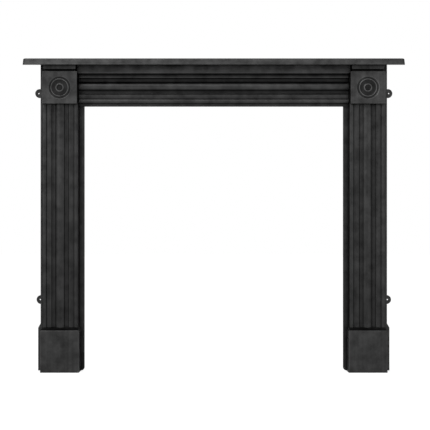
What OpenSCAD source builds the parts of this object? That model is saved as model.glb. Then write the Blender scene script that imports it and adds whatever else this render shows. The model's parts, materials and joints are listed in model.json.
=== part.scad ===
// Cast-iron fireplace mantelpiece: a plain shelf on two reeded legs and a reeded frieze.
// Each leg is one casting with its corner block, roundel, cap, plinth, flanges and fixing lugs.
// Millimetres, +Z up. The wall is at the +Y side and the front faces -Y. The origin is at floor
// level, midway between the legs and midway between the wall and the front of the shelf.

/* [Overall] */
// Width of the opening between the inner flanges of the legs
opening_w = 965; // [700:1:1300]
// Height from the floor to the top of the shelf
total_h = 1151; // [900:1:1450]

/* [Shelf] */
// Clear space between the faces of the caps and the shelf's lip
lip_gap = 5; // [1:0.5:175]
// How far each end of the shelf passes the outer flange of its leg
shelf_end = 53.5; // [20:0.5:120]
// Thickness of the shelf plate
plate_t = 7; // [5:0.5:14]
// Height of the lip along the front, plate included
lip_h = 23; // [16:0.5:45]
// Thickness of the lip
lip_t = 8; // [6:0.5:14]
// Radius of the shelf's front corners in plan
corner_r = 10; // [6:0.5:20]
// Radius of the shelf's upper and lower edges
edge_r = 3.2; // [1:0.1:5]

/* [Casting] */
// Wall thickness of the hollow legs and frieze
wall = 7; // [5:0.5:9]
// Thickness of the legs' flat back flanges
flange_t = 6; // [4:0.5:9]
// Clearance between the ends of the frieze and the legs
fit_gap = 0.5; // [0.2:0.1:2]

/* [Legs] */
// Width of the reeded face of a leg
leg_w = 132; // [120:1:190]
// Distance of the leg's fillets from the wall
leg_face = 58; // [40:1:70]
// Width of the flange on the opening side of a leg
inner_flange_w = 17.5; // [10:0.5:40]
// Width of the flange on the outer side of a leg
outer_flange_w = 14.5; // [10:0.5:40]
// Radius of the inner flange's bottom corner
flange_corner_r = 13; // [4:1:17]

/* [Plinth] */
// How far the plinth passes the reeded face of the leg at each side
plinth_out = 5.5; // [2:0.5:9]
// Height of the plinth's front face
plinth_h = 154; // [80:1:260]
// Distance of the plinth, block and cap faces from the wall
block_d = 77; // [72:1:100]
// Height of the bevel that leads from the plinth to the leg
bevel_h = 11; // [6:0.5:20]
// How far the flange beside the plinth passes the outer flange of the leg
plinth_flange_w = 9.2; // [4:0.1:20]
// Radius of the plinth's upright edges
plinth_edge_r = 4; // [1:0.5:6]

/* [Corner block and cap] */
// How far the corner block stays inside the reeded face of the leg at each side
block_in = 2; // [0.5:0.5:8]
// Height of the corner block
block_h = 118.5; // [100:0.5:180]
// Height of the dark recess between the block and the cap
recess_h = 8.5; // [4:0.5:14]
// How far the recess is set back from the block's sides and front
recess_set = 8; // [4:0.5:12]
// How far the cap stays inside the corner block at each side
cap_in = 5; // [1:0.5:7]
// Height of the cap
cap_h = 30; // [14:0.5:40]

/* [Leg reeding] */
// Width of the leg's middle bead
leg_bead_w = 30; // [20:1:36]
// Height of the middle bead above the fillets
leg_bead_rise = 6; // [2:0.5:9]
// Width of each cove beside the bead
leg_cove_w = 17; // [10:1:20]
// Width of each fillet beyond a cove
leg_fillet_w = 9; // [4:0.5:11]
// How far the slope between a fillet and its outer roll falls
leg_slope_dip = 8; // [3:0.5:10]
// Width of the half-round rolls at the leg's edges
leg_roll_w = 16; // [10:1:18]
// Height of the rolls above the fillets
leg_roll_rise = 3; // [0:0.5:6]

/* [Frieze] */
// Distance of the frieze's fillets from the wall
frieze_face = 28; // [26:0.5:40]
// Height of the plain band under the shelf
fascia_h = 39; // [16:0.5:60]
// Height of the plain band above the fillets, measured forwards
fascia_rise = 3; // [0:0.5:8]
// Width of the frieze's middle bead
frieze_bead_w = 25; // [16:0.5:32]
// Height of the frieze's bead above its fillets, measured forwards
frieze_bead_rise = 6; // [2:0.5:9]
// Width of each cove beside the frieze's bead
frieze_cove_w = 18.5; // [12:0.5:20]
// Width of each fillet of the frieze
frieze_fillet_w = 7; // [4:0.5:10]
// Width of the slopes beyond the frieze's fillets
frieze_slope_w = 8.5; // [4:0.5:12]
// How far the frieze's slopes fall back
frieze_slope_dip = 6; // [3:0.5:7]
// Width of the half-round roll along the frieze's lower edge
frieze_roll_w = 16; // [10:0.5:20]
// Width of the flat flange below the roll
frieze_flange_w = 12; // [6:0.5:30]

/* [Roundel] */
// Radius of the round sinking that holds the rings
sinking_r = 41; // [34:0.5:48]
// Depth of the sinking round the outer ring
sinking_depth = 5; // [3:0.5:6]
// Radius of the outer ring's crest
outer_ring_r = 32.5; // [28:0.5:33]
// Radius of the inner ring's crest
inner_ring_r = 13; // [10:0.5:15]
// Width of both rings
ring_w = 6.4; // [4:0.2:7]
// Depth of the dished field between the rings
field_depth = 4.6; // [3:0.2:6]
// Depth of the middle dimple
dimple_depth = 4; // [2:0.5:6]

/* [Fixing lugs] */
// Radius of the round fixing lugs
lug_r = 16.5; // [12:0.5:22]
// Radius of the screw holes
lug_hole_r = 2.5; // [2.5:0.1:6]
// Depth of the upper lugs' centres below the shelf's top
upper_lug_drop = 117.5; // [60:0.5:200]
// Height of the lower lugs' centres above the floor
lower_lug_z = 264.5; // [220:0.5:400]
// How far the upper lugs' centres lie beyond the flange's edge
upper_lug_out = 3.5; // [0:0.5:8]
// How far the lower lugs' centres lie inside the flange's edge
lower_lug_in = 1.5; // [0:0.5:6]
// How far each screw hole lies beyond its lug's centre
hole_out = 3; // [0:0.5:4]

/* [Hidden] */

iron = "#2b2b2d";
arc_steps = 7;     // straight sides in each rounded stretch of a profile
ring_fn = 72;      // smoothness of the turned rings
hole_fn = 48;
cut = 1;           // how far a cutting solid passes the face that it cuts
cove_step = 2;     // small upright arris where a cove meets its fillet
ring_sink = 0.6;   // how far the rings' crests lie behind the block's face
steep_lean = 1;    // how far the walls of the dimple and of the groove round the rings lean
easy_lean = 2;     // how far the edges of the dished field and of the sinking lean
thin_behind = 1;   // how much thinner the wall is behind the roundel's sinking

// Places along the wall, measured from a leg's axis. Towards the opening is positive.
leg_half = leg_w / 2;
plinth_w = leg_w + 2 * plinth_out;
block_w = leg_w - 2 * block_in;
cap_w = block_w - 2 * cap_in;
recess_w = block_w - 2 * recess_set;
leg_axis = opening_w / 2 + inner_flange_w + leg_half;
inner_edge = leg_half + inner_flange_w;
outer_edge = -leg_half - outer_flange_w;
plinth_outer_edge = outer_edge - plinth_flange_w;
shelf_half = leg_axis - outer_edge + shelf_end;

// Distances from the wall
lip_back = block_d + lip_gap;
shelf_reach = lip_back + lip_t;

// Heights
seat_z = total_h - plate_t;
cap_z = seat_z - cap_h;
block_top = cap_z - recess_h;
block_z = block_top - block_h;
upper_lug_z = total_h - upper_lug_drop;

// Heights in the frieze
fascia_z = seat_z - fascia_h;
frieze_half = frieze_bead_w / 2 + frieze_cove_w + frieze_fillet_w;
bead_z = fascia_z - frieze_slope_w - frieze_half;
frieze_roll_z = bead_z - frieze_half - frieze_slope_w - frieze_roll_w;
frieze_z = frieze_roll_z - frieze_flange_w;
fascia_face = frieze_face + fascia_rise;

// Leg profile
leg_roll_x = leg_half - leg_roll_w;
leg_crest = leg_face + leg_roll_rise;
leg_cove_floor = leg_face - cove_step - leg_cove_w / 2;

// Points of an arc after its first point, from angle a0 to angle a1
function arc(c, r, a0, a1) =
    [for (i = [1:arc_steps]) let (a = a0 + (a1 - a0) * i / arc_steps) c + r * [cos(a), sin(a)]];

// Half of the reeding, from the crest of the bead outwards. A point is [distance from the bead's
// middle, distance from the wall]: the bead, the cove, its arris, the fillet, and the foot of the slope.
function half_reeding(face, bead_w, rise, cove_w, fillet_w, slope_w, slope_dip) =
    let (
        half = bead_w / 2,
        spring = face - cove_step,
        sagitta = rise + cove_step,
        bead_r = (half * half + sagitta * sagitta) / (2 * sagitta),
        bead_c = spring + sagitta - bead_r,
        fillet_x = half + cove_w
    )
    concat(
        [[0, face + rise]],
        arc([0, bead_c], bead_r, 90, atan2(spring - bead_c, half)),
        arc([half + cove_w / 2, spring], cove_w / 2, 180, 360),
        [[fillet_x, face], [fillet_x + fillet_w, face]],
        [[fillet_x + fillet_w + slope_w, face - slope_dip]]
    );

// A half-round roll that starts at x and stands out to the crest
function roll(x, width, crest) =
    concat(
        [[x, crest - width / 2]],
        arc([x + width / 2, crest - width / 2], width / 2, 180, 0)
    );

// The other half of a profile that starts on its axis of symmetry, in reverse order
function other_half(points) =
    [for (i = [len(points) - 1:-1:1]) [-points[i][0], points[i][1]]];

function leg_profile() =
    let (
        slope_x = leg_bead_w / 2 + leg_cove_w + leg_fillet_w,
        half = concat(
            half_reeding(
                leg_face, leg_bead_w, leg_bead_rise, leg_cove_w, leg_fillet_w,
                leg_roll_x - slope_x, leg_slope_dip
            ),
            roll(leg_roll_x, leg_roll_w, leg_crest),
            [[leg_half, 0]]
        )
    )
    concat(half, other_half(half));

// The frieze's front as [distance from the wall, height], from its foot to its top
function frieze_profile() =
    let (
        half = half_reeding(
            frieze_face, frieze_bead_w, frieze_bead_rise, frieze_cove_w, frieze_fillet_w,
            frieze_slope_w, frieze_slope_dip
        ),
        front_of_flange = 2 * flange_t,
        lower_roll = roll(-frieze_half - frieze_slope_w - frieze_roll_w, frieze_roll_w, fascia_face),
        reeding = concat(lower_roll, other_half(half), half)
    )
    concat(
        [[flange_t, frieze_z], [front_of_flange, frieze_z], [front_of_flange, frieze_roll_z]],
        [for (p = reeding) [p[1], bead_z + p[0]]],
        [[fascia_face, fascia_z], [fascia_face, seat_z], [flange_t, seat_z]]
    );

// Working coordinates have Y forwards from the wall, and this turns them to the part's own.
module from_wall() {
    translate([0, shelf_reach / 2, 0]) mirror([0, 1, 0]) children();
}

// A prism along X, drawn as [distance from the wall, height]
module along_wall(x0, x1) {
    translate([x0, 0, 0]) rotate([90, 0, 90]) linear_extrude(x1 - x0) children();
}

// A prism from the wall forwards, drawn as [place along the wall, height]
module forwards(y0, y1) {
    translate([0, y1, 0]) rotate([90, 0, 0]) linear_extrude(y1 - y0) children();
}

// A box centred on X = 0
module middle_box(width, y0, y1, z0, z1) {
    translate([-width / 2, y0, z0]) cube([width, y1 - y0, z1 - z0]);
}

// The shelf's plate with its lip, seen from above, from the front, and from an end
module shelf_plan() {
    polygon(concat(
        [[shelf_half, 0]],
        [[shelf_half, shelf_reach - corner_r]],
        arc([shelf_half - corner_r, shelf_reach - corner_r], corner_r, 0, 90),
        [[-shelf_half + corner_r, shelf_reach]],
        arc([-shelf_half + corner_r, shelf_reach - corner_r], corner_r, 90, 180),
        [[-shelf_half, 0]]
    ));
}

module shelf_front_view() {
    x = shelf_half - edge_r;
    low = total_h - lip_h + edge_r;
    high = total_h - edge_r;
    polygon(concat(
        [[shelf_half, low], [shelf_half, high]],
        arc([x, high], edge_r, 0, 90),
        [[-x, total_h]],
        arc([-x, high], edge_r, 90, 180),
        [[-shelf_half, low]],
        arc([-x, low], edge_r, 180, 270),
        [[x, low - edge_r]],
        arc([x, low], edge_r, -90, -1)
    ));
}

module shelf_end_view() {
    y = shelf_reach - edge_r;
    low = total_h - lip_h + edge_r;
    high = total_h - edge_r;
    polygon(concat(
        [[0, total_h], [0, low - edge_r], [y, low - edge_r]],
        arc([y, low], edge_r, -90, 0),
        [[shelf_reach, high]],
        arc([y, high], edge_r, 0, 90)
    ));
}

module shelf() {
    past_ends = 2 * (shelf_half + cut);
    color(iron) from_wall() difference() {
        intersection() {
            translate([0, 0, total_h - lip_h - cut]) linear_extrude(lip_h + 2 * cut) shelf_plan();
            forwards(-cut, shelf_reach + cut) shelf_front_view();
            along_wall(-shelf_half - cut, shelf_half + cut) shelf_end_view();
        }
        middle_box(past_ends, -cut, lip_back, total_h - lip_h - cut, seat_z);
    }
}

// The back flanges of a leg with their lugs, seen from the front
module flange_outline() {
    shoulder_z = plinth_h + bevel_h / 2;
    shoulder_r = plinth_flange_w;
    polygon(concat(
        [[plinth_outer_edge, 0], [inner_edge - flange_corner_r, 0]],
        arc([inner_edge - flange_corner_r, flange_corner_r], flange_corner_r, -90, 0),
        [[inner_edge, seat_z], [outer_edge, seat_z], [outer_edge, shoulder_z + 2 * shoulder_r]],
        arc([outer_edge - shoulder_r, shoulder_z + 2 * shoulder_r], shoulder_r, 0, -45),
        [[plinth_outer_edge, shoulder_z]]
    ));
}

module lug(x, z) {
    translate([x, z]) circle(lug_r, $fn = hole_fn);
}

module flanges() {
    forwards(0, flange_t) {
        flange_outline();
        lug(outer_edge - upper_lug_out, upper_lug_z);
        lug(outer_edge + lower_lug_in, lower_lug_z);
    }
}

module lug_hole(x, z) {
    translate([x - hole_out, flange_t + cut, z]) rotate([90, 0, 0])
        cylinder(h = flange_t + 2 * cut, r = lug_hole_r, $fn = hole_fn);
}

// The plinth: plan with rounded edges, cut by its front view and its end view to form the bevel
module plinth() {
    half = plinth_w / 2;
    top = plinth_h + bevel_h;
    near_x = half - plinth_edge_r;
    near_y = block_d - plinth_edge_r;
    intersection() {
        linear_extrude(top) polygon(concat(
            [[half, 0], [half, near_y]],
            arc([near_x, near_y], plinth_edge_r, 0, 90),
            [[-near_x, block_d]],
            arc([-near_x, near_y], plinth_edge_r, 90, 180),
            [[-half, 0]]
        ));
        forwards(-cut, block_d + cut) polygon([
            [-half, -cut], [half, -cut], [half, plinth_h],
            [leg_half, top], [-leg_half, top], [-half, plinth_h]
        ]);
        along_wall(-half - cut, half + cut) polygon([
            [-cut, -cut], [block_d, -cut], [block_d, plinth_h], [leg_crest, top], [-cut, top]
        ]);
    }
}

// The space in front of the roundel's surface, turned about the block's axis
module roundel_space() {
    r = ring_w / 2;
    spring = -ring_sink - r;
    translate([0, block_d, block_z + block_h / 2]) rotate([-90, 0, 0])
        rotate_extrude($fn = ring_fn) polygon(concat(
            [[0, cut], [0, -dimple_depth], [inner_ring_r - r - steep_lean, -dimple_depth]],
            [[inner_ring_r - r, spring]],
            arc([inner_ring_r, spring], r, 180, 0),
            [[inner_ring_r + r + easy_lean, -field_depth]],
            [[outer_ring_r - r - easy_lean, -field_depth]],
            [[outer_ring_r - r, spring]],
            arc([outer_ring_r, spring], r, 180, 0),
            [[outer_ring_r + r + steep_lean, -sinking_depth]],
            [[sinking_r - easy_lean, -sinking_depth]],
            [[sinking_r, 0], [sinking_r, cut]]
        ));
}

module corner_block() {
    difference() {
        middle_box(block_w, 0, block_d, block_z, block_top);
        roundel_space();
    }
    middle_box(recess_w, 0, block_d - recess_set, block_top, cap_z);
    middle_box(cap_w, 0, block_d, cap_z, seat_z);
}

// The hollow behind the leg's reeding: a flat one behind the coves, with a deeper channel
// behind the bead and behind each fillet and roll
module leg_hollow() {
    cove_back = leg_cove_floor - wall;
    edge_back = leg_face - leg_slope_dip - wall;
    side = leg_half - wall;
    step_x = leg_bead_w / 2 + leg_cove_w;
    bead_back = leg_face + leg_bead_rise - wall;
    translate([0, 0, -cut]) linear_extrude(block_z + wall + 2 * cut) {
        translate([-side, -cut]) square([2 * side, cove_back + cut]);
        polygon([
            [-leg_bead_w / 2, cove_back - cut], [leg_bead_w / 2, cove_back - cut],
            [leg_bead_w / 4, bead_back], [-leg_bead_w / 4, bead_back]
        ]);
        for (way = [-1, 1]) polygon([
            [way * step_x, cove_back - cut], [way * side, cove_back - cut],
            [way * side, edge_back], [way * (step_x + edge_back - cove_back), edge_back]
        ]);
    }
}

module leg_hollows() {
    block_wall = wall + sinking_depth - thin_behind;
    leg_hollow();
    middle_box(plinth_w - 2 * wall, -cut, block_d - wall, -cut, plinth_h - wall);
    middle_box(block_w - 2 * wall, -cut, block_d - block_wall, block_z + wall, block_top - wall);
    middle_box(recess_w - 2 * wall, -cut, block_d - recess_set - wall, block_z + wall, seat_z - wall);
}

module leg() {
    difference() {
        union() {
            flanges();
            linear_extrude(block_z + cut) polygon(leg_profile());
            plinth();
            corner_block();
        }
        leg_hollows();
        lug_hole(outer_edge - upper_lug_out, upper_lug_z);
        lug_hole(outer_edge + lower_lug_in, lower_lug_z);
    }
}

module left_leg() {
    color(iron) from_wall() translate([-leg_axis, 0, 0]) leg();
}

module right_leg() {
    color(iron) from_wall() mirror([1, 0, 0]) translate([-leg_axis, 0, 0]) leg();
}

// The hollow behind the frieze, as [distance from the wall, height]
module frieze_hollow() {
    cove_back = frieze_face - cove_step - frieze_cove_w / 2 - wall;
    bead_back = frieze_face + frieze_bead_rise - wall;
    band_back = fascia_face - wall;
    slope_z = bead_z - frieze_half - frieze_slope_w;
    bead_half = frieze_bead_w / 2;
    polygon([
        [flange_t - cut, frieze_roll_z + wall], [band_back, frieze_roll_z + wall],
        [band_back, slope_z - wall / 2], [cove_back, slope_z],
        [cove_back, bead_z - bead_half], [bead_back, bead_z - bead_half / 3],
        [bead_back, bead_z + bead_half / 3], [cove_back, bead_z + bead_half],
        [cove_back, fascia_z], [band_back, fascia_z + wall],
        [band_back, seat_z - wall], [flange_t - cut, seat_z - wall]
    ]);
}

// The frieze stands in front of the legs' inner flanges. Over the corner blocks its plain band
// runs on to the caps.
module frieze() {
    half = leg_axis - leg_half - fit_gap;
    band_half = leg_axis - cap_w / 2 - fit_gap;
    color(iron) from_wall() difference() {
        union() {
            along_wall(-half, half) polygon(frieze_profile());
            middle_box(2 * band_half, flange_t, fascia_face, block_top + fit_gap, seat_z);
        }
        along_wall(-half + wall, half - wall) frieze_hollow();
    }
}

shelf();
frieze();
left_leg();
right_leg();
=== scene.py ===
import json
import math

import bmesh
import bpy
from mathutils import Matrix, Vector


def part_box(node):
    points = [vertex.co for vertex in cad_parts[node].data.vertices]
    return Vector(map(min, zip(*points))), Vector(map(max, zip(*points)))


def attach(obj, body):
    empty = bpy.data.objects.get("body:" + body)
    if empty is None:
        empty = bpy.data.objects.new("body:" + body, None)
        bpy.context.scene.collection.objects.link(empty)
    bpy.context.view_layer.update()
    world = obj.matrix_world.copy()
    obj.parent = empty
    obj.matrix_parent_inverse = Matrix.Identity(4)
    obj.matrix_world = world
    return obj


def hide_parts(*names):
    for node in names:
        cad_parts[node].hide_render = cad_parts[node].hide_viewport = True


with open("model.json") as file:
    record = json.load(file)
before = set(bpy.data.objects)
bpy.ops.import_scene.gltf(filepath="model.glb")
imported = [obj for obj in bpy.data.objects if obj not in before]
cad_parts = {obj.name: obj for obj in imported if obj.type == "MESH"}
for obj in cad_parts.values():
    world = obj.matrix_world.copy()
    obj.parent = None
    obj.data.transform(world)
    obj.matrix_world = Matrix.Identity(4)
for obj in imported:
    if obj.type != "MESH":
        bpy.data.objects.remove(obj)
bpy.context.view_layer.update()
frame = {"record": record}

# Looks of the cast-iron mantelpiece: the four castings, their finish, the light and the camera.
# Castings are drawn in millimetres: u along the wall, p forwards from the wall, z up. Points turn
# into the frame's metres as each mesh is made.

MM = 0.001


# ---------------------------------------------------------------- Sizes, in millimetres

def box_mm(node):
    """The lowest and highest corners of a CAD node, in millimetres."""
    low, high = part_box(node)
    return low / MM, high / MM


shelf_low, shelf_high = box_mm("shelf")
frieze_low, frieze_high = box_mm("frieze")
leg_low, leg_high = box_mm("left_leg")
holes = {mount["name"]: mount for mount in frame["record"]["mounts"]}

WALL_Y = shelf_high.y
WALL_T = 7.0
FLANGE_T = 6.0
ROOT_P = 3.0            # where the parts of a leg start, inside the thickness of its flanges
FIT_GAP = 0.5           # between the frieze and the legs, beside it and below its plain band
CUT = 1.0               # how far a cutting shape passes the face that it cuts
HOLLOW_R = 3.0          # radius of the corners inside the hollows
# How far a hollow starts behind the face that it opens through, so that its soft corners lie clear of it
PAST_BACK = CUT + HOLLOW_R

SHELF_HALF = shelf_high.x
SHELF_REACH = shelf_high.y - shelf_low.y
SHELF_LOW, SHELF_TOP = shelf_low.z, shelf_high.z
LIP_T = 8.0
SHELF_CORNER_R = 10.0
SHELF_ARRIS = 3.2
LIP_ARRIS = 0.8         # radius of the lip's lower edges
SHELF_DRAFT = 1.8       # how far the lip leans back between its lower and upper edges

CREST_RISE = 3.0        # how far the rolls and the plain band stand in front of the reeding's face

LEG_AXIS = 566.0
LEG_HALF = 66.0
LEG_FACE = 58.0
LEG_BEAD_HALF = 15.0
LEG_BEAD_RISE = 4.0
LEG_COVE_W = 17.0
LEG_COVE_DEPTH = 5.5
LEG_FILLET_W = 9.0
LEG_ROLL_W = 16.0
LEG_CREST = LEG_FACE + CREST_RISE
ROLL_RISE = 5.5         # height of the rolls above their own edges
INNER_EDGE = leg_high.x + LEG_AXIS
OUTER_FLANGE_W = 14.5
OUTER_EDGE = -LEG_HALF - OUTER_FLANGE_W
FLANGE_CORNER_R = 13.0
SEAT_Z = leg_high.z

PLINTH_HALF = 71.5
PLINTH_H = 154.0
BLOCK_P = WALL_Y - leg_low.y
BEVEL_H = 11.0
PLINTH_FLANGE_W = 9.2   # how far the outer flange widens beside the plinth
PLINTH_OUTER_EDGE = OUTER_EDGE - PLINTH_FLANGE_W
PLINTH_EDGE_R = 4.0

CAP_H = 30.0
CAP_HALF = 59.0
NECK_H = 8.5            # height of the recess between cap and block
NECK_SET = 8.0          # how far the recess lies behind the block's face and sides
BLOCK_H = 118.5
BLOCK_HALF = 64.0
CAP_Z = SEAT_Z - CAP_H
BLOCK_TOP = CAP_Z - NECK_H
BLOCK_Z = BLOCK_TOP - BLOCK_H
SHAFT_OVERLAP = 4.0     # how far the shaft runs into plinth and block
NECK_OVERLAP = 5.0      # how far the neck runs into block and cap

SINKING_R = 43.0
SINKING_DEPTH = 5.0
# The roundel's crests and valleys from its rim inwards, as (radius, height above the block's face).
# Its two ring crests lie just behind the face, at -0.5 and -0.8.
ROUNDEL = [
    (SINKING_R, 0), (36.4, -3.8), (31.3, -0.5), (26.8, -4),
    (18.5, -4), (12.6, -0.8), (7.6, -5), (2, -5),
]

LUG_R = 16.5
HOLE_OUT = 3.0          # how far each screw hole lies beyond its lug's centre

FRIEZE_FACE = 28.0
FRIEZE_BAND = FRIEZE_FACE + CREST_RISE
FRIEZE_BEAD_Z = 1057.3
FRIEZE_BEAD_HALF = 12.5
FRIEZE_BEAD_RISE = 4.6
FRIEZE_COVE_W = 18.5
FRIEZE_COVE_DEPTH = 7.5
FRIEZE_FILLET_W = 7.0
FRIEZE_HALF_H = FRIEZE_BEAD_HALF + FRIEZE_COVE_W + FRIEZE_FILLET_W
FRIEZE_SLOPE = 8.5
FRIEZE_ROLL_W = 16.0
UPPER_SLOPE_DIP = 3.5
FASCIA_H = 39.0
FASCIA_Z = SEAT_Z - FASCIA_H

# The hollows run behind the CAD's relief, which is a little deeper than the relief drawn here
CAD_BEAD_RISE = 6.0
CAD_EDGE_DIP = 8.0
FRIEZE_HOLLOW_R = 2.0
FRIEZE_BEAD_HOLLOW_HALF = 4.0

COVE_STEP = 1.0         # the upright arris where a cove meets its fillet
ARRIS = 1.4             # radius of the castings' softened edges
THIN_ARRIS = 1.0        # the same for the flanges, the lugs and the plinths' feet
REED_ARRIS = 0.9        # the same between the reeds
ARC_STEPS = 14
SIDE_POINTS = 34        # points on each long side of a corner block's outline
WELD = 0.01             # corners nearer than this are one
SHARP_ANGLE = 36        # in degrees: edges that turn by more stay sharp


# ---------------------------------------------------------------- Outlines

def arc(centre, radius, start, end, steps=ARC_STEPS):
    """The points of an arc after its first, between two angles in degrees."""
    points = []
    for i in range(1, steps + 1):
        angle = math.radians(start + (end - start) * i / steps)
        points.append((centre[0] + radius * math.cos(angle), centre[1] + radius * math.sin(angle)))
    return points


def soften(outline, radius=ARRIS, least_turn=24.0, steps=3):
    """A closed outline whose corners that turn by more than least_turn degrees are rounded."""
    soft = []
    for i, point in enumerate(outline):
        corner = Vector(point)
        before = Vector(outline[i - 1]) - corner
        after = Vector(outline[(i + 1) % len(outline)]) - corner
        turn = math.pi - before.angle(after)
        if turn < math.radians(least_turn):
            soft.append(corner)
            continue
        reach = min(radius * math.tan(turn / 2), 0.45 * before.length, 0.45 * after.length)
        start = corner + before.normalized() * reach
        end = corner + after.normalized() * reach
        for k in range(steps + 1):
            t = k / steps
            soft.append(start * (1 - t) ** 2 + corner * 2 * t * (1 - t) + end * t * t)
    return soft


def inset(outline, distance):
    """A closed outline drawn inwards."""
    points = [Vector(point) for point in outline]
    count = len(points)
    area = sum(points[i - 1].cross(points[i]) for i in range(count))
    side = 1 if area > 0 else -1
    moved = []
    for i, point in enumerate(points):
        before = (point - points[i - 1]).normalized()
        after = (points[(i + 1) % count] - point).normalized()
        normal_before = Vector((-before.y, before.x)) * side
        normal_after = Vector((-after.y, after.x)) * side
        middle = (normal_before + normal_after).normalized()
        moved.append(point + middle * distance / max(0.4, middle.dot(normal_before)))
    return moved


def half_reeding(face, bead_half, rise, cove_w, cove_depth, fillet_w):
    """From the bead's crest to the far side of a fillet, as (distance from the middle, p)."""
    spring = face - COVE_STEP
    sagitta = rise + COVE_STEP
    bead_r = (bead_half ** 2 + sagitta ** 2) / (2 * sagitta)
    bead_centre = spring + sagitta - bead_r
    bead_end = math.degrees(math.atan2(spring - bead_centre, bead_half))
    fillet_x = bead_half + cove_w
    cove = [
        (bead_half + cove_w / 2 * (1 + across), spring + cove_depth * down)
        for across, down in arc((0, 0), 1, 180, 360)
    ]
    return (
        [(0.0, face + rise)]
        + arc((0.0, bead_centre), bead_r, 90, bead_end)
        + cove
        + [(fillet_x, face), (fillet_x + fillet_w, face)]
    )


def roll(x, width, crest):
    """A low, softly rounded roll that starts at x."""
    half_round = arc((0, 0), 1, 180, 0)
    points = [(x + width / 2 * (1 + across), crest - ROLL_RISE * (1 - up)) for across, up in half_round]
    return [(x, crest - ROLL_RISE)] + points


def other_half(points):
    """The mirror image of a profile that starts on its axis, from its far end back."""
    return [(-x, p) for x, p in reversed(points[1:])]


def leg_profile():
    """The plan of a leg's shaft, from the crest of its bead round to the crest again."""
    roll_x = LEG_HALF - LEG_ROLL_W
    half = half_reeding(
        LEG_FACE, LEG_BEAD_HALF, LEG_BEAD_RISE, LEG_COVE_W, LEG_COVE_DEPTH, LEG_FILLET_W
    )
    half += roll(roll_x, LEG_ROLL_W, LEG_CREST)
    half.append((LEG_HALF, ROOT_P))
    return half + other_half(half)


def frieze_profile():
    """The frieze's section as (p, z), from its foot up its front to its top."""
    half = half_reeding(
        FRIEZE_FACE, FRIEZE_BEAD_HALF, FRIEZE_BEAD_RISE,
        FRIEZE_COVE_W, FRIEZE_COVE_DEPTH, FRIEZE_FILLET_W,
    )
    slope_x = FRIEZE_HALF_H + FRIEZE_SLOPE
    lower = roll(-slope_x - FRIEZE_ROLL_W, FRIEZE_ROLL_W, FRIEZE_BAND)
    upper = [(FASCIA_Z - FRIEZE_BEAD_Z, FRIEZE_FACE - UPPER_SLOPE_DIP)]
    reeding = [(p, FRIEZE_BEAD_Z + x) for x, p in lower + other_half(half) + half + upper]
    roll_z = reeding[0][1]
    flange_p = 2 * FLANGE_T
    return (
        [(FLANGE_T, frieze_low.z), (flange_p, frieze_low.z), (flange_p, roll_z)]
        + reeding
        + [(FRIEZE_BAND, FASCIA_Z), (FRIEZE_BAND, SEAT_Z), (FLANGE_T, SEAT_Z)]
    )


# ---------------------------------------------------------------- Solids

def to_frame(point):
    """A drawn point (u, p, z) in the frame's metres."""
    u, p, z = point
    return Vector((u, WALL_Y - p, z)) * MM


def upright(point, z):
    """A point of a plan, (u, p), at height z."""
    return point[0], point[1], z


def along_wall(point, u):
    """A point of a section, (p, z), at the place u."""
    return u, point[0], point[1]


def forwards(point, p):
    """A point of a front view, (u, z), at the distance p from the wall."""
    return point[0], p, point[1]


def placed(outline, place, at):
    return [place(point, at) for point in outline]


def as_object(name, mesh):
    """Turns a mesh into an object, with its faces all pointing outwards."""
    bmesh.ops.recalc_face_normals(mesh, faces=mesh.faces)
    if mesh.calc_volume(signed=True) < 0:
        bmesh.ops.reverse_faces(mesh, faces=mesh.faces)
    data = bpy.data.meshes.new(name)
    mesh.to_mesh(data)
    mesh.free()
    made = bpy.data.objects.new(name, data)
    bpy.context.scene.collection.objects.link(made)
    return made


def loft(name, rings):
    """A closed solid through rings with equally many points, capped at both ends."""
    mesh = bmesh.new()
    loops = [[mesh.verts.new(to_frame(point)) for point in ring] for ring in rings]
    count = len(rings[0])
    for lower, upper in zip(loops, loops[1:]):
        for i in range(count):
            j = (i + 1) % count
            mesh.faces.new((lower[i], lower[j], upper[j], upper[i]))
    mesh.faces.new(loops[0])
    mesh.faces.new(loops[-1])
    return as_object(name, mesh)


def prism(name, outline, place, start, end):
    return loft(name, [placed(outline, place, start), placed(outline, place, end)])


def arris_steps(radius, steps=3):
    """How far in and how far back each ring of a rounded edge lies, from its side to its face."""
    pairs = []
    for k in range(steps + 1):
        angle = math.radians(90 * k / steps)
        pairs.append((radius * (1 - math.cos(angle)), radius * (1 - math.sin(angle))))
    return pairs


def slab(name, outline, back, front, arris=ARRIS):
    """A plate drawn as (u, z), from p = back to front, with its front arris rounded."""
    rings = [placed(outline, forwards, back)]
    for inwards, behind in arris_steps(arris):
        rings.append(placed(inset(outline, inwards), forwards, front - behind))
    return loft(name, rings)


def box_outline(half, low, high):
    return soften([(-half, low), (half, low), (half, high), (-half, high)])


def combine(target, operation, tools):
    """Adds the tools to the target, or cuts them from it, and removes them."""
    for tool in tools:
        change = target.modifiers.new(operation, "BOOLEAN")
        change.operation = operation
        change.solver = "MANIFOLD"
        change.object = tool
    evaluated = target.evaluated_get(bpy.context.evaluated_depsgraph_get())
    result = bpy.data.meshes.new_from_object(evaluated)
    target.modifiers.clear()
    old = target.data
    target.data = result
    bpy.data.meshes.remove(old)
    for tool in tools:
        bpy.data.meshes.remove(tool.data)


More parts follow.
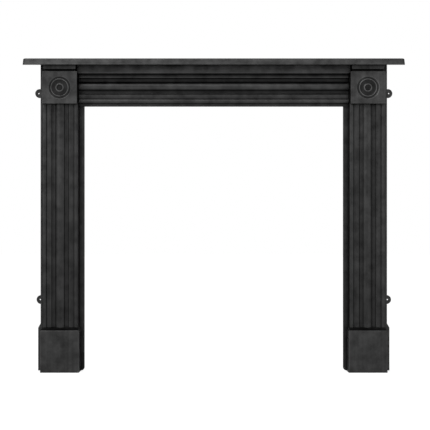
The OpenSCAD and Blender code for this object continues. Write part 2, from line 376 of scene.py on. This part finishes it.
def dress(casting, node, material):
    """Finishes a casting: clean mesh, smooth faces between true edges, material and body, and hides the
    CAD part that it replaces.
    """
    mesh = bmesh.new()
    mesh.from_mesh(casting.data)
    bmesh.ops.remove_doubles(mesh, verts=mesh.verts, dist=WELD * MM)
    bmesh.ops.dissolve_degenerate(mesh, edges=mesh.edges, dist=WELD * MM)
    for face in mesh.faces:
        face.smooth = True
    for edge in mesh.edges:
        edge.smooth = edge.calc_face_angle(0) < math.radians(SHARP_ANGLE)
    mesh.to_mesh(casting.data)
    mesh.free()
    even = casting.modifiers.new("even_shading", "WEIGHTED_NORMAL")
    even.keep_sharp = True
    casting.data.materials.clear()
    casting.data.materials.append(material)
    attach(casting, "root")
    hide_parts(node)


# ---------------------------------------------------------------- Leg

def flange_plate():
    """The flat plate behind a leg, which shows as a flange at each side."""
    shoulder_z = PLINTH_H + BEVEL_H / 2
    shoulder_r = OUTER_EDGE - PLINTH_OUTER_EDGE
    shoulder_top = shoulder_z + 2 * shoulder_r
    corner = (INNER_EDGE - FLANGE_CORNER_R, FLANGE_CORNER_R)
    outline = (
        [(PLINTH_OUTER_EDGE, 0.0), (corner[0], 0.0)]
        + arc(corner, FLANGE_CORNER_R, -90, 0, 8)
        + [(INNER_EDGE, SEAT_Z), (OUTER_EDGE, SEAT_Z), (OUTER_EDGE, shoulder_top)]
        + arc((OUTER_EDGE - shoulder_r, shoulder_top), shoulder_r, 0, -45, 5)
        + [(PLINTH_OUTER_EDGE, shoulder_z)]
    )
    return slab("flange_plate", outline, 0.0, FLANGE_T, THIN_ARRIS)


def hole_place(mount_name):
    """The (u, z) of the left leg's screw hole, measured from the leg's axis."""
    mount = holes[mount_name]
    u = -mount["dims"]["spacing_x_mm"] / 2 + LEG_AXIS
    return u, mount["pos_m"][2] / MM


def circle(u, z, radius, points=64):
    return arc((u, z), radius, 0, 360, points)


def lug(name, place):
    outline = circle(place[0] + HOLE_OUT, place[1], LUG_R)
    return slab(name, outline, 0.0, FLANGE_T, THIN_ARRIS)


def plinth_ring(z, narrower, shallower):
    """The plinth's plan at height z, drawn in by so much at each side and at the front."""
    half = PLINTH_HALF - narrower
    front = BLOCK_P - shallower
    x = half - PLINTH_EDGE_R
    y = front - PLINTH_EDGE_R
    outline = (
        [(half, ROOT_P), (half, y)]
        + arc((x, y), PLINTH_EDGE_R, 0, 90, 6)
        + [(-x, front)]
        + arc((-x, y), PLINTH_EDGE_R, 90, 180, 6)
        + [(-half, ROOT_P)]
    )
    return placed(outline, upright, z)


def plinth():
    side_fall = PLINTH_HALF - LEG_HALF
    front_fall = BLOCK_P - LEG_CREST
    soft = 0.12           # share of the bevel taken up by the rounded arris at its foot
    foot = reversed(arris_steps(THIN_ARRIS))
    rings = [plinth_ring(behind, inwards, inwards) for inwards, behind in foot]
    for k in range(4):
        t = k / 3
        share = soft * t * t
        z = PLINTH_H + BEVEL_H * soft * (t * t - (1 - t) ** 2)
        rings.append(plinth_ring(z, side_fall * share, front_fall * share))
    rings.append(plinth_ring(PLINTH_H + BEVEL_H, side_fall, front_fall))
    return loft("plinth", rings)


def spread(start, end, centre, count):
    """Points along a straight side, the start included, evenly spread as seen from the centre."""
    middle = (start + end) / 2
    half = (end - start) / 2
    widest = math.atan(half.length / (middle - centre).length)
    shares = [math.tan(widest * (2 * i / count - 1)) / math.tan(widest) for i in range(count)]
    return [middle + half * share for share in shares]


def block_outline(centre):
    """The corner block's outline as (u, z), with enough points on each side to turn into a circle."""
    corners = box_outline(BLOCK_HALF, BLOCK_Z, BLOCK_TOP)
    outline = []
    for start, end in zip(corners, corners[1:] + corners[:1]):
        long_side = (end - start).length > BLOCK_HALF
        outline += spread(start, end, centre, SIDE_POINTS) if long_side else [start]
    return outline


def roundel_profile():
    """The roundel's surface, which swings softly between its crests and its valleys."""
    steps = 7
    points = [ROUNDEL[0]]
    for (outer, start), (inner, end) in zip(ROUNDEL, ROUNDEL[1:]):
        for k in range(1, steps + 1):
            share = k / steps
            swing = (1 - math.cos(math.pi * share)) / 2
            points.append((outer + (inner - outer) * share, start + (end - start) * swing))
    return points


def corner_block():
    centre = Vector((0, (BLOCK_Z + BLOCK_TOP) / 2))
    outline = block_outline(centre)
    rings = [placed(outline, forwards, ROOT_P)]
    for inwards, behind in arris_steps(ARRIS):
        rings.append(placed(inset(outline, inwards), forwards, BLOCK_P - behind))
    for radius, height in roundel_profile():
        ring = [centre + (point - centre).normalized() * radius for point in outline]
        rings.append(placed(ring, forwards, BLOCK_P + height))
    return loft("corner_block", rings)


def leg_hollow_outline():
    """The hollow behind the reeding: flat behind the coves, deeper behind bead, fillets and rolls."""
    cove_back = LEG_FACE - COVE_STEP - LEG_COVE_W / 2 - WALL_T
    edge_back = LEG_FACE - CAD_EDGE_DIP - WALL_T
    bead_back = LEG_FACE + CAD_BEAD_RISE - WALL_T
    side = LEG_HALF - WALL_T
    cove_end = LEG_BEAD_HALF + LEG_COVE_W
    half = [
        (LEG_BEAD_HALF / 2, bead_back), (LEG_BEAD_HALF, cove_back), (cove_end, cove_back),
        (cove_end + edge_back - cove_back, edge_back), (side, edge_back), (side, -PAST_BACK),
    ]
    return soften(half + [(-u, p) for u, p in reversed(half)], HOLLOW_R)


def hollow_box(name, half, front, low, high):
    """An upright cutter that opens at the back, with soft corners inside."""
    corners = [(half, -PAST_BACK), (half, front), (-half, front), (-half, -PAST_BACK)]
    outline = soften(corners, HOLLOW_R, steps=4)
    return prism(name, outline, upright, low, high)


def leg_cutters():
    block_front = BLOCK_P - WALL_T - SINKING_DEPTH + CUT
    block_low = BLOCK_Z + WALL_T
    neck_half = BLOCK_HALF - NECK_SET - WALL_T
    cutters = [
        prism("leg_hollow", leg_hollow_outline(), upright, -CUT, block_low + CUT),
        hollow_box("plinth_hollow", PLINTH_HALF - WALL_T, BLOCK_P - WALL_T, -CUT, PLINTH_H - WALL_T),
        hollow_box("block_hollow", BLOCK_HALF - WALL_T, block_front, block_low, BLOCK_TOP - WALL_T),
        hollow_box("neck_hollow", neck_half, BLOCK_P - NECK_SET - WALL_T, block_low, SEAT_Z - WALL_T),
    ]
    for name in ("upper_fixings", "lower_fixings"):
        hole = circle(*hole_place(name), holes[name]["dims"]["hole_r_mm"], points=40)
        cutters.append(prism(name, hole, forwards, -CUT, FLANGE_T + CUT))
    return cutters


def left_leg():
    shaft = soften(leg_profile(), REED_ARRIS)
    neck = box_outline(BLOCK_HALF - NECK_SET, BLOCK_TOP - NECK_OVERLAP, CAP_Z + NECK_OVERLAP)
    cap = box_outline(CAP_HALF, CAP_Z, SEAT_Z)
    casting = flange_plate()
    combine(casting, "UNION", [
        lug("upper_lug", hole_place("upper_fixings")),
        lug("lower_lug", hole_place("lower_fixings")),
        prism("shaft", shaft, upright, PLINTH_H - SHAFT_OVERLAP, BLOCK_Z + SHAFT_OVERLAP),
        plinth(),
        corner_block(),
        slab("neck", neck, ROOT_P, BLOCK_P - NECK_SET),
        slab("cap", cap, ROOT_P, BLOCK_P),
    ])
    combine(casting, "DIFFERENCE", leg_cutters())
    for vertex in casting.data.vertices:
        vertex.co.x -= LEG_AXIS * MM
    casting.name = casting.data.name = "left_leg_casting"
    return casting


def mirrored(casting, name):
    """The mirror image of a casting across the mantelpiece's middle."""
    mesh = bmesh.new()
    mesh.from_mesh(casting.data)
    for vertex in mesh.verts:
        vertex.co.x = -vertex.co.x
    return as_object(name, mesh)


# ---------------------------------------------------------------- Frieze and shelf

def frieze_hollow_outline():
    """The hollow behind the frieze as (p, z): deeper behind the roll, the bead and the plain band."""
    cove_back = FRIEZE_FACE - COVE_STEP - FRIEZE_COVE_W / 2 - WALL_T
    bead_back = FRIEZE_FACE + CAD_BEAD_RISE - WALL_T
    band_back = FRIEZE_BAND - WALL_T
    back = FLANGE_T - PAST_BACK
    slope_z = FRIEZE_BEAD_Z - FRIEZE_HALF_H - FRIEZE_SLOPE
    low = slope_z - FRIEZE_ROLL_W + WALL_T
    return soften([
        (back, low),
        (band_back, low),
        (band_back, slope_z - WALL_T / 2),
        (cove_back, slope_z),
        (cove_back, FRIEZE_BEAD_Z - FRIEZE_BEAD_HALF),
        (bead_back, FRIEZE_BEAD_Z - FRIEZE_BEAD_HOLLOW_HALF),
        (bead_back, FRIEZE_BEAD_Z + FRIEZE_BEAD_HOLLOW_HALF),
        (cove_back, FRIEZE_BEAD_Z + FRIEZE_BEAD_HALF),
        (cove_back, FASCIA_Z),
        (band_back, FASCIA_Z + WALL_T),
        (band_back, SEAT_Z - WALL_T),
        (back, SEAT_Z - WALL_T),
    ], FRIEZE_HOLLOW_R)


def frieze():
    half = LEG_AXIS - LEG_HALF - FIT_GAP
    band_low = BLOCK_TOP + FIT_GAP
    band_half = frieze_high.x
    band = [(FLANGE_T, band_low), (FRIEZE_BAND, band_low), (FRIEZE_BAND, SEAT_Z), (FLANGE_T, SEAT_Z)]
    casting = prism("frieze_casting", soften(frieze_profile(), REED_ARRIS), along_wall, -half, half)
    ends = [
        prism("left_band_end", band, along_wall, -band_half, -half + WALL_T),
        prism("right_band_end", band, along_wall, half - WALL_T, band_half),
    ]
    combine(casting, "UNION", ends)
    hollow = prism("frieze_hollow", frieze_hollow_outline(), along_wall, -half + WALL_T, half - WALL_T)
    combine(casting, "DIFFERENCE", [hollow])
    return casting


def shelf_ring(z, inwards):
    """The shelf's plan at height z, drawn in by so much at its ends and its front."""
    half = SHELF_HALF - inwards
    front = SHELF_REACH - inwards
    x = half - SHELF_CORNER_R
    y = front - SHELF_CORNER_R
    outline = (
        [(half, 0.0), (half, y)]
        + arc((x, y), SHELF_CORNER_R, 0, 90, 10)
        + [(-x, front)]
        + arc((-x, y), SHELF_CORNER_R, 90, 180, 10)
        + [(-half, 0.0)]
    )
    return placed(outline, upright, z)


def shelf():
    """The shelf's plate with its lip turned down along the front, and soft edges."""
    lower = reversed(arris_steps(LIP_ARRIS))
    rings = [shelf_ring(SHELF_LOW + behind, inwards) for inwards, behind in lower]
    for inwards, behind in arris_steps(SHELF_ARRIS, 5):
        rings.append(shelf_ring(SHELF_TOP - behind, SHELF_DRAFT + inwards))
    casting = loft("shelf_casting", rings)
    past_ends = SHELF_HALF + CUT
    lip_back = SHELF_REACH - LIP_T
    low = SHELF_LOW - CUT
    corners = [(-PAST_BACK, low), (lip_back, low), (lip_back, SEAT_Z), (-PAST_BACK, SEAT_Z)]
    underside = prism("underside", soften(corners, HOLLOW_R), along_wall, -past_ends, past_ends)
    combine(casting, "DIFFERENCE", [underside])
    return casting


# ---------------------------------------------------------------- Finish

def node(tree, kind, values=None, links=None, **settings):
    """Adds a shader node with its settings, socket values and incoming links."""
    made = tree.nodes.new(kind)
    for name, value in settings.items():
        setattr(made, name, value)
    for socket, value in (values or {}).items():
        made.inputs[socket].default_value = value
    for socket, source in (links or {}).items():
        tree.links.new(source, made.inputs[socket])
    return made


def noise(tree, coordinates, scale, detail, roughness=0.5):
    made = node(
        tree, "ShaderNodeTexNoise",
        {"Scale": scale, "Detail": detail, "Roughness": roughness}, {"Vector": coordinates},
    )
    return made.outputs["Fac"]


def remap(tree, source, low, high, to_low, to_high):
    made = node(
        tree, "ShaderNodeMapRange",
        {"From Min": low, "From Max": high, "To Min": to_low, "To Max": to_high}, {"Value": source},
    )
    return made.outputs["Result"]


def maths(tree, operation, first, second):
    """A Math node on two sources, the second of which may be a plain number."""
    made = node(tree, "ShaderNodeMath", links={0: first}, operation=operation)
    if isinstance(second, (int, float)):
        made.inputs[1].default_value = second
    else:
        tree.links.new(second, made.inputs[1])
    return made.outputs["Value"]


def bump(tree, height, distance, strength, normal=None):
    links = {"Height": height}
    if normal is not None:
        links["Normal"] = normal
    made = node(tree, "ShaderNodeBump", {"Distance": distance, "Strength": strength}, links)
    return made.outputs["Normal"]


RAMP_LENGTH = 100       # the distance that a ramp of tones covers, in millimetres


def ramp(tree, source, stops):
    """A tone that follows the source through stops, each a place in millimetres and its tone."""
    share = remap(tree, source, 0, RAMP_LENGTH * MM, 0, 1)
    made = node(tree, "ShaderNodeValToRGB", links={"Fac": share})
    elements = made.color_ramp.elements
    for element, (place, tone) in zip(elements, (stops[0], stops[-1])):
        element.position = place / RAMP_LENGTH
        element.color = (tone, tone, tone, 1)
    for place, tone in stops[1:-1]:
        elements.new(place / RAMP_LENGTH).color = (tone, tone, tone, 1)
    return made.outputs["Color"]


def product(tree, factors):
    """All the factors multiplied together."""
    result = factors[0]
    for factor in factors[1:]:
        result = maths(tree, "MULTIPLY", result, factor)
    return result


IRON_LEVEL = 0.065      # base colour at a tone of 1
EDGE_POLISH = 0.34      # tone added where an edge is rubbed


def cast_iron(name, streak_scale, depth_shade_and_highlight, height_light_and_shade):
    """Satin black iron: streaked along its reeds, rubbed on its edges, with painted shade in its hollows
    and on faces turned up, and painted highlights on its crests.

    The tones by depth give the tone at each distance from the wall, in millimetres: painted shade
    darkens what lies far back, and a painted highlight lightens the crests. Each of the tones by height
    is a factor that goes from one value to another between two heights. All these tones were tuned to
    one photograph's brightness.
    """
    material = bpy.data.materials.new(name)
    material.use_nodes = True
    tree = material.node_tree
    shader = tree.nodes["Principled BSDF"]
    shader.inputs["Metallic"].default_value = 0.85
    shader.inputs["Specular IOR Level"].default_value = 0.3
    shader.inputs["Specular Tint"].default_value = (0.2, 0.2, 0.2, 1)
    place = node(tree, "ShaderNodeTexCoord").outputs["Object"]
    axes = node(tree, "ShaderNodeSeparateXYZ", links={"Vector": place}).outputs
    stretched = node(
        tree, "ShaderNodeMapping", {"Scale": streak_scale}, {"Vector": place}
    ).outputs["Vector"]

    cloud = noise(tree, place, 24, 4, 0.6)
    streak = noise(tree, stretched, 1, 3)
    pits = noise(tree, place, 260, 2)
    grain = noise(tree, place, 900, 2)
    wave = noise(tree, place, 9, 2)

    cavity_shade_ao = node(
        tree, "ShaderNodeAmbientOcclusion", {"Distance": 12 * MM}, samples=8
    ).outputs["AO"]
    inner = node(
        tree, "ShaderNodeAmbientOcclusion", {"Distance": 2.5 * MM}, samples=6, inside=True
    ).outputs["AO"]
    rubbed = remap(tree, inner, 0.95, 0.55, 0.0, 1.0)
    normal = node(tree, "ShaderNodeNewGeometry").outputs["Normal"]
    facing_up = node(tree, "ShaderNodeSeparateXYZ", links={"Vector": normal}).outputs["Z"]
    from_wall = maths(tree, "MULTIPLY", axes["Y"], -1)
    from_wall = maths(tree, "ADD", from_wall, WALL_Y * MM)

    factors = [
        remap(tree, cloud, 0.3, 0.7, 0.62, 1.38),
        remap(tree, streak, 0.3, 0.7, 0.86, 1.14),
        remap(tree, grain, 0.3, 0.7, 0.9, 1.1),
        # Painted shade: darker in the hollows and corners that the short-range occlusion finds
        remap(tree, cavity_shade_ao, 0.4, 0.95, 0.78, 1.0),
        # Painted shade: faces turned up are darker
        remap(tree, facing_up, 0.35, 0.85, 1.0, 0.62),
        # Painted shade on what lies far back from the wall, and a painted highlight on the crests
        ramp(tree, from_wall, depth_shade_and_highlight),
    ]
    # Painted light and shade, each factor between two heights
    for low, high, below, above in height_light_and_shade:
        factors.append(remap(tree, axes["Z"], low * MM, high * MM, below, above))
    tone = maths(tree, "ADD", product(tree, factors), maths(tree, "MULTIPLY", rubbed, EDGE_POLISH))
    level = maths(tree, "MULTIPLY", tone, IRON_LEVEL)
    colour = node(
        tree, "ShaderNodeCombineColor", links={"Red": level, "Green": level, "Blue": level}
    ).outputs["Color"]
    tree.links.new(colour, shader.inputs["Base Color"])

    rough = remap(tree, cloud, 0.3, 0.7, 0.35, 0.47)
    rough = maths(tree, "ADD", rough, remap(tree, streak, 0.3, 0.7, -0.04, 0.04))
    rough = maths(tree, "SUBTRACT", rough, maths(tree, "MULTIPLY", rubbed, 0.06))
    tree.links.new(rough, shader.inputs["Roughness"])

    surface = bump(tree, wave, 1.0 * MM, 0.7)
    surface = bump(tree, pits, 0.12 * MM, 0.5, surface)
    surface = bump(tree, grain, 0.05 * MM, 0.5, surface)
    tree.links.new(surface, shader.inputs["Normal"])
    return material


# ---------------------------------------------------------------- Stage, light and camera

def seen_directly(tree):
    """1 for rays from the camera, off a glossy surface or through glass, and 0 for the rest."""
    path = node(tree, "ShaderNodeLightPath")
    both = maths(tree, "MAXIMUM", path.outputs["Is Camera Ray"], path.outputs["Is Glossy Ray"])
    return maths(tree, "MAXIMUM", both, path.outputs["Is Transmission Ray"])


def white_world(ambient):
    """A world that shows white, and lights diffuse surfaces at the ambient strength."""
    world = bpy.data.worlds.new("studio_world")
    world.use_nodes = True
    bpy.context.scene.world = world
    tree = world.node_tree
    background = tree.nodes["Background"]
    background.inputs["Color"].default_value = (1, 1, 1, 1)
    strength = remap(tree, seen_directly(tree), 0, 1, ambient, 1)
    tree.links.new(strength, background.inputs["Strength"])


def white_floor(half_side, colour, glow):
    """A floor that shows white where it is lit, and keeps a soft shadow under the object."""
    mesh = bmesh.new()
    corners = [(-1, -1), (1, -1), (1, 1), (-1, 1)]
    mesh.faces.new([mesh.verts.new((x * half_side, y * half_side, 0)) for x, y in corners])
    floor = as_object("floor", mesh)
    material = bpy.data.materials.new("floor_white")
    material.use_nodes = True
    tree = material.node_tree
    tree.nodes.clear()
    diffuse = node(tree, "ShaderNodeBsdfDiffuse", {"Color": (colour, colour, colour, 1)})
    lit = maths(tree, "MULTIPLY", seen_directly(tree), glow)
    emission = node(tree, "ShaderNodeEmission", links={"Strength": lit})
    both = node(
        tree, "ShaderNodeAddShader", links={0: diffuse.outputs["BSDF"], 1: emission.outputs["Emission"]}
    )
    node(tree, "ShaderNodeOutputMaterial", links={"Surface": both.outputs["Shader"]})
    floor.data.materials.append(material)


LAMP_TARGET = (0, 0, 0.75)
# Each lamp's name, place, width, height and radiance. The key is stronger from the left.
LAMPS = [
    ("key_left", (-1.6, -2.3, 3.1), 1.5, 1.2, 7.0),
    ("top_middle", (0.2, -2.4, 3.2), 1.5, 1.0, 3.0),
    ("low_left", (-1.3, -3.2, 0.3), 1.6, 0.6, 0.8),
    ("low_right", (1.3, -3.2, 0.3), 1.6, 0.6, 1.3),
    ("level_left", (-2.5, -2.6, 1.0), 1.2, 1.2, 1.6),
    ("level_right", (2.5, -2.6, 1.0), 1.2, 1.2, 1.2),
]


def softbox(name, place, width, height, radiance):
    """A rectangular lamp that faces the object. A radiance of 1 looks as bright as white."""
    data = bpy.data.lights.new(name, "AREA")
    data.shape = "RECTANGLE"
    data.size = width
    data.size_y = height
    data.energy = radiance * math.pi * width * height
    lamp = bpy.data.objects.new(name, data)
    lamp.location = place
    lamp.rotation_euler = (Vector(LAMP_TARGET) - Vector(place)).to_track_quat("-Z", "Y").to_euler()
    lamp.visible_camera = False
    bpy.context.scene.collection.objects.link(lamp)


def light_studio():
    white_world(ambient=0.55)
    white_floor(half_side=30.0, colour=0.4, glow=0.82)
    for lamp in LAMPS:
        softbox(*lamp)


CAMERA_FROM_WALL = 3.956
CAMERA_HEIGHT = 0.487


def place_camera():
    """A level camera square on to the wall, with its lens shifted to centre the object."""
    data = bpy.data.cameras.new("camera")
    data.sensor_width = 36
    data.lens = 88.62
    data.shift_x = 0.0028
    data.shift_y = 0.058
    camera = bpy.data.objects.new("camera", data)
    camera.location = (0, WALL_Y * MM - CAMERA_FROM_WALL, CAMERA_HEIGHT)
    camera.rotation_euler = (math.radians(90), 0, 0)
    bpy.context.scene.collection.objects.link(camera)
    bpy.context.scene.camera = camera


# ---------------------------------------------------------------- Build

place_camera()
light_studio()
bpy.context.scene.view_settings.view_transform = "Standard"

ALONG_X = (2.2, 90, 90)
ALONG_Z = (90, 90, 2.2)

# The blocks' faces are 77 from the wall. Painted shade darkens the shaft's sides and coves and the
# roundels' sunk fields, which lie further back. The bright stretch just behind the faces is a painted
# highlight on the crests of the roundels' rings, and with them on the arrises of blocks, caps and
# plinths.
LEG_DEPTH_SHADE_AND_HIGHLIGHT = [
    (0, 0.62), (7, 0.62), (12, 0.42), (52, 0.42), (61, 0.6), (67, 0.45), (71.5, 0.26), (73.3, 0.28),
    (75.8, 1.1), (76.6, 1.1), (77, 0.64),
]
# Painted shade: a leg darkens towards its plinth, and the recess under its cap is dark. The cap is
# lighter again.
LEG_HEIGHT_SHADE = [
    (PLINTH_H, BLOCK_Z, 0.73, 1),
    (BLOCK_TOP - 1, BLOCK_TOP + 1, 1, 0.25),
    (CAP_Z - 1, CAP_Z + 1, 1, 2.8),
]
# Painted shade: the frieze's coves, 16 to 24 from the wall, are darker than its faces
FRIEZE_DEPTH_SHADE = [(0, 0.6), (12, 0.6), (16, 0.24), (24, 0.24), (28, 0.58), (35, 0.7)]
# Painted light: the plain band above the reeding is lighter, against the shelf's shadow
FRIEZE_BAND_PAINTED_LIGHT = [(FASCIA_Z - 2, FASCIA_Z + 2, 1, 1.4)]
SHELF_TONES = [(0, 0.72), (90, 0.72)]

leg_iron = cast_iron("iron_of_legs", ALONG_Z, LEG_DEPTH_SHADE_AND_HIGHLIGHT, LEG_HEIGHT_SHADE)
frieze_iron = cast_iron("iron_of_frieze", ALONG_X, FRIEZE_DEPTH_SHADE, FRIEZE_BAND_PAINTED_LIGHT)
shelf_iron = cast_iron("iron_of_shelf", ALONG_X, SHELF_TONES, [])

left = left_leg()
right = mirrored(left, "right_leg_casting")
dress(left, "left_leg", leg_iron)
dress(right, "right_leg", leg_iron)
dress(frieze(), "frieze", frieze_iron)
dress(shelf(), "shelf", shelf_iron)
